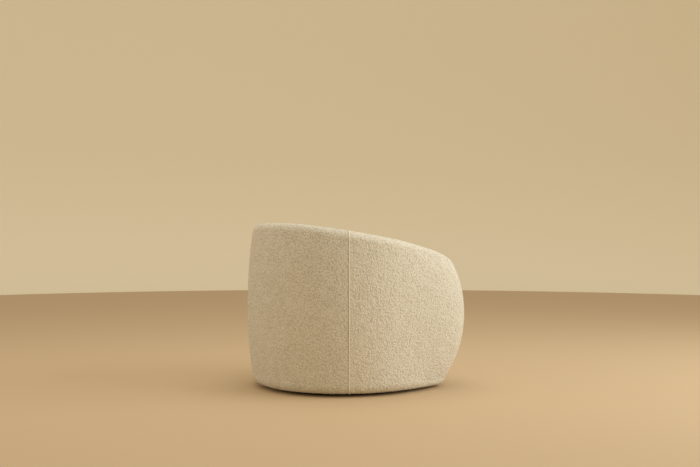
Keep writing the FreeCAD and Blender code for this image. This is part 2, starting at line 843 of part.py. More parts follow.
def main():
    os.makedirs("parts", exist_ok=True)
    for name, make in PIECES.items():
        shape = make()
        print(f"{name:22s} valid {shape.isValid()} solids {len(shape.Solids)} volume {shape.Volume:.0f}")
        shape.exportStep(f"parts/{name}.step")


main()
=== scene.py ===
import itertools
import json
import math

import bpy
import numpy as np
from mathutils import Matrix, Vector
from mathutils.bvhtree import BVHTree


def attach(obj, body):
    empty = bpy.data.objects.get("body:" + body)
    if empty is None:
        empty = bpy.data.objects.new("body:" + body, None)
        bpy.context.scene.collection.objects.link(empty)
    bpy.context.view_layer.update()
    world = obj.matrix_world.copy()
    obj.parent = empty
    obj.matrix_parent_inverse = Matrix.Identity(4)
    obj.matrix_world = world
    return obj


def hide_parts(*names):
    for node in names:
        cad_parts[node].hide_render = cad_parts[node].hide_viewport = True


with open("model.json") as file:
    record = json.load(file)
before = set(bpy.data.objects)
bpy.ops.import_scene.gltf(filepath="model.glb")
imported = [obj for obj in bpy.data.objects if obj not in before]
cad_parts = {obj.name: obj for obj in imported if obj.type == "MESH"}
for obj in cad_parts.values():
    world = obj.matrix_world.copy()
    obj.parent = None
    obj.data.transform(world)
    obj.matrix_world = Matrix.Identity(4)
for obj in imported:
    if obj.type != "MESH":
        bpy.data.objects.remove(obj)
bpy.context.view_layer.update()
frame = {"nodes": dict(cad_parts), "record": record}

# Metres, in the frame of the CAD model: the back of the chair is towards +Y and its open front
# towards -Y. A turn is an angle round the vertical axis: 0 is the middle of the back, 90 is the
# +X side and 180 is the middle of the front.

# ---------------------------------------------------------------- sizes shared with the CAD model
HALF_WIDTH = 0.386
HALF_DEPTH = 0.410
BACK_SQUARENESS = 2.1
FRONT_SQUARENESS = 5.0
BULGE_REACH = 0.300
BULGE_POWER = 2.12
BACK_BULGE = 0.055
SIDE_BULGE = 0.041
FRONT_BULGE = 0.215
FRONT_BULGE_FROM = 0.78
FULLEST_AT_BACK = 0.341
FULLEST_AT_FRONT = 0.295
RIM_AT_BACK = 0.672
RIM_SLOPE = 0.129
RIM_DROP = 0.048
RIM_DROP_POWER = 6.5
RIM_EDGE = 0.032
HEM_HEIGHT = 0.012
HEM_ROUND = 0.040
HEM_TURN_UNDER = 0.062
INSIDE_HALF_WIDTH = 0.250
INSIDE_BACK_DEPTH = 0.232
INSIDE_SQUARENESS = 2.6
SIDE_LEAN = 0.045
BACK_LEAN = 0.14
DECK_TOP = 0.275
SEAM_TURN = 59.0
SWIVEL_Y = 0.020
BEARING_RADIUS = 0.146
CUSHION_LOW = 0.276
CUSHION_TOP = 0.428
CUSHION_MARGIN = 0.004
CUSHION_FRONT = 0.400
CUSHION_SQUARENESS = 8.0
ZIP_TURN = 38.0

# ---------------------------------------------------------------- sizes of the visible surface
# Pairs of turns are where a change along the rim or the hem begins and ends, in degrees.
BORDER_TOP = 0.2725
FRONT_SEAM_TURN = 148.0
NOSE_ROUND = 0.024
BACK_EDGE_ROUND = 0.024
FRONT_HEM_ROUND = 0.024
RIM_SEAM_DEPTH = 0.0045
SKIN_CELL = 0.0050
CUSHION_CELL = 0.0061
YARN_LOOP = 0.0058
LOOP_SIZE = 0.0072
LOOP_HEIGHT = 0.0021
SEAM_RIDGE = 0.0028
SEAM_WIDTH = 0.0022
WELT_RADIUS = 0.0019
WELT_FURROW = 0.0022
FRONT_HEM_TURNS = (90.0, 125.0)
NOSE_TURNS = (95.0, 135.0)
BACK_EDGE_TURNS = (60.0, 30.0)
DECK_FRONT = 0.368
DECK_SQUARENESS = 6.0
DECK_BOTTOM = 0.250
DECK_GAP = 0.004
DECK_EDGE = 0.008
DECK_CROWN = 0.0008
DECK_SINK = 0.0012
CUSHION_EDGE = 0.024
CUSHION_SEAMS_APART = 0.128
CUSHION_LEAN = 0.030
CUSHION_CROWN = 0.009
CUSHION_MIDDLE_Y = (INSIDE_BACK_DEPTH - CUSHION_FRONT) / 2
CUSHION_START_INSET = 0.005
CUSHION_FINAL_INSET = 0.0005
CUSHION_SWELL_LIMIT = 0.008
CUSHION_PRESSURE = 4.0
CUSHION_FRAMES = 20
CUSHION_SMOOTHING = 12
CUSHION_ABOVE_DECK = 0.0004
CLOTH_LEVEL = 0.0136
CLOTH_SAG = 0.0006
CLOTH_GATHERS = 60
CLOTH_GATHER_HEIGHT = 0.0003
CLOTH_SPARE = 0.004
ZIP_LIFT = 0.0012
ZIP_TOOTH_HEIGHT = 0.0007
ZIP_TEETH_HALF_WIDTH = 0.0015
TINY = 1e-9
LEAST_SLOPE = 0.05


# ---------------------------------------------------------------- the shape of the chair
def superellipse(sine, cosine, half_x, half_y, squareness):
    """Distance from the axis to a rounded-square outline."""
    along_x = (np.abs(sine) / half_x) ** squareness
    along_y = (np.abs(cosine) / half_y) ** squareness
    return (along_x + along_y) ** (-1.0 / squareness)


def outer(sine, cosine, z):
    """Distance from the axis to the outside of the cover."""
    nearness = np.clip(-cosine / FRONT_BULGE_FROM, 0.0, 1.0)
    front_share = nearness ** 2 * (3 - 2 * nearness)
    back_share = np.clip(cosine, 0.0, 1.0) ** 2
    bulge = SIDE_BULGE + (FRONT_BULGE - SIDE_BULGE) * front_share + (BACK_BULGE - SIDE_BULGE) * back_share
    fullest = FULLEST_AT_BACK + (FULLEST_AT_FRONT - FULLEST_AT_BACK) * (1 - cosine) / 2
    narrowing = bulge * np.abs((z - fullest) / BULGE_REACH) ** BULGE_POWER
    squareness = np.where(cosine > 0, BACK_SQUARENESS, FRONT_SQUARENESS)
    return superellipse(sine, cosine, HALF_WIDTH, HALF_DEPTH, squareness) * (1 - narrowing)


def rim_heights(turns):
    """Height of the top of the rim at each turn."""
    sine, cosine = np.sin(np.radians(turns)), np.cos(np.radians(turns))
    height = np.full(len(turns), RIM_AT_BACK)
    for _ in range(6):
        y = outer(sine, cosine, height - RIM_EDGE) * cosine
        share = np.clip((HALF_DEPTH - y) / (2 * HALF_DEPTH), 0.0, 1.0)
        height = RIM_AT_BACK - RIM_SLOPE * share - RIM_DROP * share ** RIM_DROP_POWER
    return height


TURNS = np.linspace(0.0, 180.0, 181)
RIM_HEIGHTS = rim_heights(TURNS)


def turn_of(x, y):
    """Turn of a point in degrees, from -180 to 180."""
    return np.degrees(np.arctan2(x, y))


def smooth_step(value, first, last):
    """Goes smoothly from 0 at the first value to 1 at the last."""
    share = np.clip((value - first) / (last - first), 0.0, 1.0)
    return share ** 2 * (3 - 2 * share)


def hem_radius(x, y):
    """Radius of the bottom edge: smaller at the front than at the back."""
    front = smooth_step(np.abs(turn_of(x, y)), *FRONT_HEM_TURNS)
    return HEM_ROUND + (FRONT_HEM_ROUND - HEM_ROUND) * front


def outside_depth(x, y, z):
    """How far a point is outside the outer surface, negative inside it."""
    radius = np.hypot(x, y) + TINY
    sine, cosine = x / radius, y / radius
    above_hem = np.maximum(z, HEM_HEIGHT + hem_radius(x, y))
    reach = outer(sine, cosine, above_hem)
    step = math.radians(0.5)
    turned = outer(np.sin(np.arctan2(x, y) + step), np.cos(np.arctan2(x, y) + step), above_hem)
    slant = (turned - reach) / (step * reach)
    return (radius - reach) / np.sqrt(1 + slant ** 2)


def rim_depth(x, y, z):
    """How far a point is above the top of the rim, negative below it."""
    return z - np.interp(np.abs(turn_of(x, y)), TURNS, RIM_HEIGHTS)


def well_depth(x, y, z):
    """How far a point is inside the seat well, negative in the upholstery round it."""
    rise = z - DECK_TOP
    half_width = INSIDE_HALF_WIDTH + SIDE_LEAN * rise
    half_depth = INSIDE_BACK_DEPTH + BACK_LEAN * rise
    radius = np.hypot(x, y) + TINY
    behind = superellipse(x / radius, y / radius, half_width, half_depth, INSIDE_SQUARENESS) - radius
    wall = np.where(y > 0, behind, half_width - np.abs(x))
    return np.minimum(wall, z - BORDER_TOP)


def rounded(depths, radius):
    """The solid inside all of the surfaces, with its edges rounded."""
    over = np.stack([np.maximum(depth + radius, 0.0) for depth in depths])
    return np.minimum(np.max(depths, axis=0) + radius, 0.0) + np.sqrt((over ** 2).sum(axis=0)) - radius


def edge_radius(x, y):
    """Radius of the rim's edges: smaller at the back and over the narrow front ends of the arms."""
    turn = np.abs(turn_of(x, y))
    front = smooth_step(turn, *NOSE_TURNS)
    back = smooth_step(turn, *BACK_EDGE_TURNS)
    return RIM_EDGE + (NOSE_ROUND - RIM_EDGE) * front + (BACK_EDGE_ROUND - RIM_EDGE) * back


def upholstery(x, y, z):
    """Field of the whole upholstered body: negative inside it."""
    walls = [outside_depth(x, y, z), rim_depth(x, y, z), well_depth(x, y, z)]
    body = rounded(walls, edge_radius(x, y))
    return rounded([body, HEM_HEIGHT - z], hem_radius(x, y))


def seat_outline(x, y, half_width, back_depth, front_depth, squareness):
    """How far a point is outside the seat's outline, seen from above."""
    radius = np.hypot(x, y) + TINY
    behind = superellipse(x / radius, y / radius, half_width, back_depth, INSIDE_SQUARENESS)
    ahead = superellipse(x / radius, y / radius, half_width, front_depth, squareness)
    return radius - np.where(y > 0, behind, ahead)


# ---------------------------------------------------------------- meshes from fields
def surface_nets(field, low, high, cell):
    """Points and quads of the surface where a field is zero."""
    counts = [int(math.ceil((b - a) / cell)) + 1 for a, b in zip(low, high)]
    axes = [a + cell * np.arange(n) for a, n in zip(low, counts)]
    values = field(*np.meshgrid(*axes, indexing="ij"))
    inside = values < 0
    total = np.zeros((values.size, 3))
    crossings = np.zeros(values.size)
    quads = []
    for axis in range(3):
        across, along = (axis + 1) % 3, (axis + 2) % 3
        step = np.eye(3, dtype=int)[axis]
        changes = np.diff(inside.astype(np.int8), axis=axis)
        edges = np.argwhere(changes != 0)
        start = values[tuple(edges.T)]
        end = values[tuple((edges + step).T)]
        places = np.array(low) + cell * (edges + (start / (start - end))[:, None] * step)
        corners = []
        for back, down in ((0, 0), (1, 0), (1, 1), (0, 1)):
            cells = edges.copy()
            cells[:, across] -= back
            cells[:, along] -= down
            index = np.ravel_multi_index(cells.T, values.shape)
            np.add.at(total, index, places)
            np.add.at(crossings, index, 1)
            corners.append(index)
        found = np.stack(corners, axis=1)
        leaving = changes[tuple(edges.T)] < 0
        found[~leaving] = found[~leaving][:, ::-1]
        quads.append(found)
    used, faces = np.unique(np.concatenate(quads), return_inverse=True)
    return total[used] / crossings[used, None], faces.reshape(-1, 4)


def gradient(field, points, step=0.0004):
    """Slope of a field along each axis at each point."""
    columns = []
    for axis in range(3):
        shift = np.eye(3)[axis] * step
        columns.append((field(*(points + shift).T) - field(*(points - shift).T)) / (2 * step))
    return np.stack(columns, axis=1)


def settle(field, points, faces, rounds=4):
    """Evens the points out over the surface and puts them exactly on it."""
    for _ in range(rounds):
        total = np.zeros_like(points)
        count = np.zeros(len(points))
        for i in range(4):
            for j in ((i + 1) % 4, (i - 1) % 4):
                np.add.at(total, faces[:, i], points[faces[:, j]])
                np.add.at(count, faces[:, i], 1)
        points = points + 0.5 * (total / count[:, None] - points)
        slope = gradient(field, points)
        value = field(*points.T)
        points = points - (value / (slope ** 2).sum(axis=1).clip(LEAST_SLOPE))[:, None] * slope
    return points


def new_object(name, data):
    """An object with the given data, in the scene."""
    obj = bpy.data.objects.new(name, data)
    bpy.context.scene.collection.objects.link(obj)
    return obj


def mesh_object(name, points, faces):
    mesh = bpy.data.meshes.new(name)
    mesh.from_pydata(points.tolist(), [], faces.tolist())
    mesh.validate()
    mesh.polygons.foreach_set("use_smooth", [True] * len(mesh.polygons))
    return new_object(name, mesh)


def with_modifiers_applied(obj):
    """Replaces the object's mesh by what its modifiers make of it."""
    depsgraph = bpy.context.evaluated_depsgraph_get()
    mesh = bpy.data.meshes.new_from_object(obj.evaluated_get(depsgraph))
    obj.modifiers.clear()
    obj.data = mesh
    return obj


def subdivided(obj):
    modifier = obj.modifiers.new("subdivide", "SUBSURF")
    modifier.levels = modifier.render_levels = 1
    return with_modifiers_applied(obj)


def vertex_vectors(obj, key):
    flat = np.empty(len(obj.data.vertices) * 3, np.float32)
    obj.data.vertices.foreach_get(key, flat)
    return flat.reshape(-1, 3).astype(float)


def points_of(obj):
    return vertex_vectors(obj, "co")


def normals_of(obj):
    return vertex_vectors(obj, "normal")


def move_points(obj, points):
    """Puts the object's vertices at new places."""
    obj.data.vertices.foreach_set("co", points.astype(np.float32).ravel())
    obj.data.update()


def faces_of(obj):
    flat = np.empty(len(obj.data.loops), np.int32)
    obj.data.loops.foreach_get("vertex_index", flat)
    return flat.reshape(-1, 4)


def part_of(name, points, faces, keep):
    """A new object of only some faces."""
    used, kept = np.unique(faces[keep], return_inverse=True)
    return mesh_object(name, points[used], kept.reshape(-1, 4))


# ---------------------------------------------------------------- cloth detail
def loops(points, size):
    """Height, from 0 to 1, of the curled yarn loops of boucle: bumps about size apart."""
    mixing = np.array([[127.1, 269.5, 113.5], [311.7, 183.3, 271.9], [74.7, 246.1, 124.6]])
    scaled = points / size
    cell = np.floor(scaled)
    nearest = np.full(len(points), 2.0)
    for offset in itertools.product((-1, 0, 1), repeat=3):
        corner = cell + np.array(offset)
        seed = np.sin(corner @ mixing) * 43758.5453
        centre = corner + seed - np.floor(seed)
        nearest = np.minimum(nearest, np.linalg.norm(scaled - centre, axis=1))
    return np.clip(1 - nearest, 0, 1)


def boucle_height(points):
    """Height of the boucle: large loops with smaller ones between them, about even with 0."""
    large = loops(points, LOOP_SIZE)
    small = loops(points + 0.37, LOOP_SIZE * 0.62)
    return LOOP_HEIGHT * (large * 1.6 + small * 0.7 - 0.9)


def seam_height(distance):
    """A raised seam with a furrow beside it, at a signed distance from its line."""
    furrow_depth = 0.45 * SEAM_RIDGE
    from_furrow = distance + 2.2 * SEAM_WIDTH
    ridge = SEAM_RIDGE * np.exp(-(distance / SEAM_WIDTH) ** 2)
    return ridge - furrow_depth * np.exp(-(from_furrow / SEAM_WIDTH) ** 2)


def skin_seams(points):
    """Height of every seam of the upholstered body."""
    x, y, z = points.T
    turn = np.abs(turn_of(x, y))
    radius = np.hypot(x, y)
    beside_welt = np.radians(turn - SEAM_TURN) * radius
    height = -WELT_FURROW * np.exp(-((beside_welt + WELT_RADIUS) / (1.5 * WELT_RADIUS)) ** 2)
    from_inner_edge = (well_depth(x, y, z) + RIM_SEAM_DEPTH) * 2
    height += seam_height(from_inner_edge)
    beside_border = np.radians(turn - FRONT_SEAM_TURN) * radius
    fade = 0.01
    below_top = np.clip((BORDER_TOP - z) / fade, 0, 1) * (turn > 120)
    return height + seam_height(beside_border) * below_top


# ---------------------------------------------------------------- materials
def new_material(name, roughness, metallic=0.0):
    """A material with its node tree and its shader."""
    material = bpy.data.materials.new(name)
    material.use_nodes = True
    shader = material.node_tree.nodes["Principled BSDF"]
    shader.inputs["Roughness"].default_value = roughness
    shader.inputs["Metallic"].default_value = metallic
    return material, material.node_tree, shader


def add(tree, kind, inputs=(), **settings):
    """A new node. Inputs are sockets to link from, or constants."""
    node = tree.nodes.new(kind)
    for key, value in settings.items():
        setattr(node, key, value)
    for key, value in dict(inputs).items():
        if isinstance(value, bpy.types.NodeSocket):
            tree.links.new(value, node.inputs[key])
        else:
            node.inputs[key].default_value = value
    return node


def place(tree, stretch=(1, 1, 1)):
    """Object coordinates, stretched for grain."""
    source = add(tree, "ShaderNodeTexCoord")
    return add(tree, "ShaderNodeMapping", {"Vector": source.outputs["Object"], "Scale": stretch}).outputs[0]


def noise(tree, where, scale, detail=2.0):
    return add(tree, "ShaderNodeTexNoise", {"Vector": where, "Scale": scale, "Detail": detail}).outputs["Fac"]


def calculate(tree, operation, *values):
    return add(tree, "ShaderNodeMath", enumerate(values), operation=operation).outputs[0]


def ramp(tree, value, stops):
    """Colour that follows a value through the given stops."""
    node = add(tree, "ShaderNodeValToRGB", {"Fac": value})
    elements = node.color_ramp.elements
    for i, (position, colour) in enumerate(stops):
        element = elements[i] if i < 2 else elements.new(position)
        element.position = position
        element.color = (*colour, 1)
    return node.outputs["Color"]


def bump(tree, shader, height, strength, distance):
    node = add(tree, "ShaderNodeBump", {"Height": height, "Strength": strength, "Distance": distance})
    tree.links.new(node.outputs["Normal"], shader.inputs["Normal"])


def scaled_colour(colour, factor):
    return tuple(min(channel * factor, 1.0) for channel in colour)


def tint(tree, shader, value, colour, low, high):
    """Base colour between two tones. Each end is a value and the colour's factor there."""
    tone = ramp(tree, value, [(stop, scaled_colour(colour, factor)) for stop, factor in (low, high)])
    tree.links.new(tone, shader.inputs["Base Color"])


def boucle(name, colour):
    """Looped wool: paler loop tops as a painted highlight, darker gaps between the loops as painted shade,
    and a faint mottle over the panel.
    """
    material, tree, shader = new_material(name, 0.95)
    shader.inputs["Sheen Weight"].default_value = 0.25
    shader.inputs["Sheen Roughness"].default_value = 0.6
    where = place(tree)
    cells = add(tree, "ShaderNodeTexVoronoi", {"Vector": where, "Scale": 1 / YARN_LOOP, "Randomness": 1.0})
    fine = noise(tree, where, 700, 3)
    mottle = noise(tree, where, 26, 4)
    curl = calculate(tree, "MULTIPLY_ADD", fine, 0.5, cells.outputs["Distance"])
    height = calculate(tree, "SUBTRACT", 1.4, curl)
    # Painted shade and highlight: the colour darkens where the loops are low, in the gaps, and lightens on
    # the loop tops.
    tone = ramp(tree, height, [
        (0.35, scaled_colour(colour, 0.80)),
        (0.70, colour),
        (0.95, scaled_colour(colour, 1.08)),
    ])
    clouding = ramp(tree, mottle, [(0.3, (0.93, 0.92, 0.9)), (0.7, (1, 1, 1))])
    colours = {"Factor": 1.0, 6: tone, 7: clouding}
    mix = add(tree, "ShaderNodeMix", colours, data_type="RGBA", blend_type="MULTIPLY")
    tree.links.new(mix.outputs[2], shader.inputs["Base Color"])
    bump(tree, shader, height, 0.8, 0.0022)
    return material


def wood(name, colour, roughness, stretch=(3, 3, 40)):
    """Grain that runs along the board."""
    material, tree, shader = new_material(name, roughness)
    grain = noise(tree, place(tree, stretch), 14, 8)
    tint(tree, shader, grain, colour, (0.3, 0.72), (0.7, 1.12))
    bump(tree, shader, grain, 0.25, 0.0006)
    return material


def cloth(name, colour, thread=0.0009):
    """A plain weave with threads of the given width."""
    material, tree, shader = new_material(name, 0.9)
    where = place(tree)
    heights = []
    for direction in ("X", "Y"):
        bands = add(tree, "ShaderNodeTexWave", {"Vector": where, "Scale": 0.16 / thread, "Distortion": 0.4},
                    wave_type="BANDS", bands_direction=direction)
        heights.append(bands.outputs["Fac"])
    weave = calculate(tree, "MULTIPLY", *heights)
    tint(tree, shader, weave, colour, (0.0, 0.75), (1.0, 1.15))
    bump(tree, shader, weave, 0.4, 0.0004)
    return material


def metal(name, colour, roughness):
    """Rolled steel with faint streaks."""
    material, tree, shader = new_material(name, roughness, 1.0)
    streaks = noise(tree, place(tree, (1, 25, 1)), 60, 5)
    tint(tree, shader, streaks, colour, (0.3, 0.8), (0.7, 1.1))
    rough = ramp(tree, streaks, [(0.2, (roughness - 0.08,) * 3), (0.8, (roughness + 0.1,) * 3)])
    tree.links.new(rough, shader.inputs["Roughness"])
    return material


def speckled(name, colour, roughness, grain_scale, depth=0.0003):
    """Moulded plastic, felt or fibreboard: a fine even speckle."""
    material, tree, shader = new_material(name, roughness)
    grain = noise(tree, place(tree), grain_scale, 6)
    tint(tree, shader, grain, colour, (0.3, 0.8), (0.7, 1.15))
    bump(tree, shader, grain, 0.5, depth)
    return material


BOUCLE_COLOUR = (0.81, 0.775, 0.65)
MATERIALS = {
    "boucle": boucle("boucle", BOUCLE_COLOUR),
    # A darker copy of the boucle for the back pieces: painted shade, for the back's darker look beside the
    # seams.
    "boucle_back_painted_shade": boucle("boucle_back_painted_shade", scaled_colour(BOUCLE_COLOUR, 0.93)),
    # A lighter copy of the boucle for the raised seams: painted highlight, for the bright line the seams show
    # where they catch the light.
    "welt": speckled("welt", scaled_colour(BOUCLE_COLOUR, 1.08), 0.9, 500),
    "deck_lining": cloth("deck_lining", (0.36, 0.29, 0.20)),
    "black_lining": cloth("black_lining", (0.012, 0.012, 0.012)),
    "wadding": speckled("wadding", (0.75, 0.75, 0.72), 0.95, 300, 0.002),
    "foam": speckled("foam", (0.78, 0.66, 0.35), 0.9, 700),
    "felt": speckled("felt", (0.02, 0.02, 0.02), 0.95, 900),
    "black_wood": speckled("black_wood", (0.012, 0.012, 0.012), 0.4, 220, 0.0002),
    "plywood": wood("plywood", (0.52, 0.33, 0.16), 0.6),
    "fibreboard": speckled("fibreboard", (0.22, 0.12, 0.055), 0.7, 400),
    "plate_steel": metal("plate_steel", (0.50, 0.51, 0.53), 0.32),
    "spring_steel": metal("spring_steel", (0.13, 0.13, 0.15), 0.38),
    "clip_plastic": speckled("clip_plastic", (0.68, 0.66, 0.60), 0.45, 500),
    "zip_tape": cloth("zip_tape", (0.45, 0.37, 0.25), 0.0006),
}


def finish_nodes():
    """Gives every CAD node the material of its own slot."""
    for subpart in frame["record"]["subparts"]:
        node = frame["nodes"][subpart["node"]]
        node.data.materials.clear()
        node.data.materials.append(MATERIALS[subpart["material_slot"]])


def dress(obj, body, slot, material=None):
    """Gives a piece its body and its material, which is the slot's unless named."""
    obj.data.materials.clear()
    obj.data.materials.append(MATERIALS[material or slot])
    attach(obj, body)


# ---------------------------------------------------------------- the upholstered body
SKIN_PIECES = {
    "boucle_outside_back": ["outside_back_cover", "back_wadding", "rim_pad"],
    "boucle_outside_left": [
        "outside_left_cover", "left_wadding", "left_arm_front_cover", "left_arm_front_pad",
    ],
    "boucle_outside_right": [
        "outside_right_cover", "right_wadding", "right_arm_front_cover", "right_arm_front_pad",
    ],
    "boucle_inside_back": ["inside_back_cover", "inside_back_pad"],
    "boucle_inside_left": ["inside_left_cover", "inside_left_pad"],
    "boucle_inside_right": ["inside_right_cover", "inside_right_pad"],
    "boucle_front_border": ["front_border_cover", "front_border_pad"],
}


def skin_zones(x, y, z):
    """Which faces belong to each piece of the cover, from the faces' centres.

    The faces under the body and those under the seat cushion belong to none.
    """
    turn = np.abs(turn_of(x, y))
    inside = (well_depth(x, y, z) > -RIM_SEAM_DEPTH) & (z > BORDER_TOP - 0.02)
    under = (z < HEM_HEIGHT + 0.002) & (outside_depth(x, y, z) < -HEM_TURN_UNDER)
    deck_side = seat_outline(x, y, INSIDE_HALF_WIDTH, INSIDE_BACK_DEPTH, DECK_FRONT, DECK_SQUARENESS)
    on_deck = (deck_side < -0.012) & (z < BORDER_TOP + 0.004) & (z > 0.1)
    gone = under | on_deck
    border = (turn > FRONT_SEAM_TURN) & (z < BORDER_TOP + 0.003) & ~gone
    back = turn < SEAM_TURN
    rest = ~gone & ~border
    return {
        "boucle_front_border": border,
        "boucle_outside_back": rest & ~inside & back,
        "boucle_outside_left": rest & ~inside & ~back & (x < 0),
        "boucle_outside_right": rest & ~inside & ~back & (x > 0),
        "boucle_inside_back": rest & inside & back,
        "boucle_inside_left": rest & inside & ~back & (x < 0),
        "boucle_inside_right": rest & inside & ~back & (x > 0),
    }


def upholstered_body():
    """The whole covered body, meshed as one and cut into the pieces of its cover."""
    margin = 4 * SKIN_CELL
    low = (-HALF_WIDTH - margin, -HALF_DEPTH - margin, HEM_HEIGHT - margin)
    high = (HALF_WIDTH + margin, HALF_DEPTH + margin, RIM_AT_BACK + margin)
    points, faces = surface_nets(upholstery, low, high, SKIN_CELL)
    points = settle(upholstery, points, faces)
    whole = subdivided(mesh_object("skin", points, faces))
    points, normals, faces = points_of(whole), normals_of(whole), faces_of(whole)
    height = boucle_height(points) + skin_seams(points)
    points = points + normals * height[:, None]
    bpy.data.objects.remove(whole)
    centres = points[faces].mean(axis=1)
    for name, keep in skin_zones(*centres.T).items():
        piece = part_of(name, points, faces, keep)
        # Back pieces get the darker copy of the boucle, a painted shade.
        dress(piece, "shell", "boucle", "boucle_back_painted_shade" if "back" in name else "boucle")
        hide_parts(*SKIN_PIECES[name])


def wall_profile(turn):
    """Points from the hem, over the rim and down inside to the seat deck, in the plane of a turn.

    They are looked for along rays from the middle of the wall, by halving.
    """
    sine, cosine = math.sin(math.radians(turn)), math.cos(math.radians(turn))
    middle = (INSIDE_HALF_WIDTH + HALF_WIDTH) / 2
    height = (RIM_AT_BACK + HEM_HEIGHT) / 2
    under_hem, under_deck, rays = -86.0, 232.0, 900
    angles = np.radians(np.linspace(under_hem, under_deck, rays))
    past_wall, least_step = 0.45, 0.0005

    def places(reach):
        radius = middle + reach * np.cos(angles)
        return radius * sine, radius * cosine, height + reach * np.sin(angles)

    near, far = np.zeros(rays), np.full(rays, past_wall)
    for _ in range(30):
        half = (near + far) / 2
        within = upholstery(*places(half)) < 0
        near, far = np.where(within, half, near), np.where(within, far, half)
    line = np.stack(places(near + 0.4 * WELT_RADIUS), axis=1)
    above_deck = (np.cos(angles) > 0) | (line[:, 2] > DECK_TOP)
    apart = np.linalg.norm(line - np.roll(line, 1, axis=0), axis=1) > least_step
    return line[above_deck & apart]


def seam_welts():
    """The two raised seams from the hem over the rim and down to the seat."""
    for name, turn in (("welt_left", -SEAM_TURN), ("welt_right", SEAM_TURN)):
        line = wall_profile(turn)
        curve = bpy.data.curves.new(name, "CURVE")
        curve.dimensions = "3D"
        spline = curve.splines.new("POLY")
        spline.points.add(len(line) - 1)
        uneven = 1 + 0.3 * loops(line, 2 * LOOP_SIZE) + 0.2 * (loops(line, LOOP_SIZE) - 0.5)
        for point, place, thickness in zip(spline.points, line, uneven):
            point.co = (*place, 1)
            point.radius = thickness
        curve.bevel_depth = WELT_RADIUS
        curve.bevel_resolution = 3
        curve.use_fill_caps = True
        tube = new_object(name, curve)
        mesh = bpy.data.meshes.new_from_object(tube.evaluated_get(bpy.context.evaluated_depsgraph_get()))
        bpy.data.objects.remove(tube)
        # The seam tubes wear the lighter welt material, a painted highlight.
        dress(new_object(name, mesh), "shell", "boucle", "welt")


# ---------------------------------------------------------------- the seat
def cushion_field(inset):
    """Field of the loose cushion: crowned, with sides that lean out as the walls beside it do."""
    def field(x, y, z):
        half_width = INSIDE_HALF_WIDTH - CUSHION_MARGIN - inset + CUSHION_LEAN * (z - CUSHION_LOW)
        back = INSIDE_BACK_DEPTH - CUSHION_MARGIN - inset
        side = seat_outline(x, y, half_width, back, CUSHION_FRONT - inset, CUSHION_SQUARENESS)
        across, along = x / half_width * 1.4, (y - CUSHION_MIDDLE_Y) / 0.23
        top = CUSHION_TOP - inset + CUSHION_CROWN * np.cos(across) * np.cos(along)
        bottom = CUSHION_LOW + inset * 0.4
        return rounded([side, bottom - z, z - top], CUSHION_EDGE - inset)

    return field


def swell(obj):
    """Blows the cloth of a closed shape up a little, with Blender's cloth simulation."""
    before = points_of(obj)
    modifier = obj.modifiers.new("cloth", "CLOTH")
    settings = modifier.settings
    settings.use_pressure = True
    settings.uniform_pressure_force = CUSHION_PRESSURE
    settings.tension_stiffness = 30.0
    settings.bending_stiffness = 2.0
    settings.effector_weights.gravity = 0.0
    scene = bpy.context.scene
    scene.frame_start, scene.frame_end = 1, CUSHION_FRAMES
    for number in range(1, CUSHION_FRAMES + 1):
        scene.frame_set(number)
    with_modifiers_applied(obj)
    moved = points_of(obj) - before
    length = np.linalg.norm(moved, axis=1)
    moved *= np.minimum(1.0, CUSHION_SWELL_LIMIT / length.clip(TINY))[:, None]
    move_points(obj, before + moved)
    scene.frame_set(1)


def keep_inside(obj, field):
    """Brings the points that are outside a field's surface back onto it."""
    points = points_of(obj)
    for _ in range(3):
        slope = gradient(field, points)
        over = np.maximum(field(*points.T), 0)
        points = points - (over / (slope ** 2).sum(axis=1).clip(LEAST_SLOPE))[:, None] * slope
    move_points(obj, points)


def seat_cushion():
    """The loose cushion: a smaller form blown up by the cloth simulation, then seamed and covered."""
    field = cushion_field(CUSHION_START_INSET)
    margin = 0.02
    low = (-INSIDE_HALF_WIDTH - margin, -CUSHION_FRONT - margin, CUSHION_LOW - margin)
    high = (INSIDE_HALF_WIDTH + margin, INSIDE_BACK_DEPTH + margin, CUSHION_TOP + margin)
    points, faces = surface_nets(field, low, high, CUSHION_CELL)
    base = mesh_object("seat_cushion", settle(field, points, faces), faces)
    swell(base)
    smooth = base.modifiers.new("smooth", "SMOOTH")
    smooth.iterations = CUSHION_SMOOTHING
    with_modifiers_applied(base)
    keep_inside(base, cushion_field(CUSHION_FINAL_INSET))
    cushion = subdivided(base)
    points, normals = points_of(cushion), normals_of(cushion)
    from_middle = np.abs(points[:, 2] - (CUSHION_LOW + CUSHION_TOP) / 2)
    edge_seams = seam_height(from_middle - CUSHION_SEAMS_APART / 2)
    points = points + normals * (boucle_height(points) + edge_seams)[:, None]
    points[:, 2] = np.maximum(points[:, 2], CUSHION_LOW + CUSHION_ABOVE_DECK)
    move_points(cushion, points)
    dress(cushion, "cushion", "boucle")
    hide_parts("cushion_core", "cushion_cover")
    return cushion


def seat_deck():
    """The lined, lightly padded platform under the cushion."""
    half_width = INSIDE_HALF_WIDTH - DECK_GAP

    def field(x, y, z):
        side = seat_outline(x, y, half_width, INSIDE_BACK_DEPTH - DECK_GAP, DECK_FRONT, DECK_SQUARENESS)
        crown = DECK_CROWN * np.cos(x / half_width * math.pi / 2)
        return rounded([side, DECK_BOTTOM - z, z - DECK_TOP + DECK_SINK - crown], DECK_EDGE)

    low, high, cell = (-0.27, -0.39, 0.24), (0.27, 0.25, 0.29), 0.006
    points, faces = surface_nets(field, low, high, cell)
    deck = mesh_object("seat_deck", settle(field, points, faces), faces)
    dress(deck, "shell", "deck_lining")
    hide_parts("deck_cloth", "seat_deck_pad", "spring_cover_cloth")


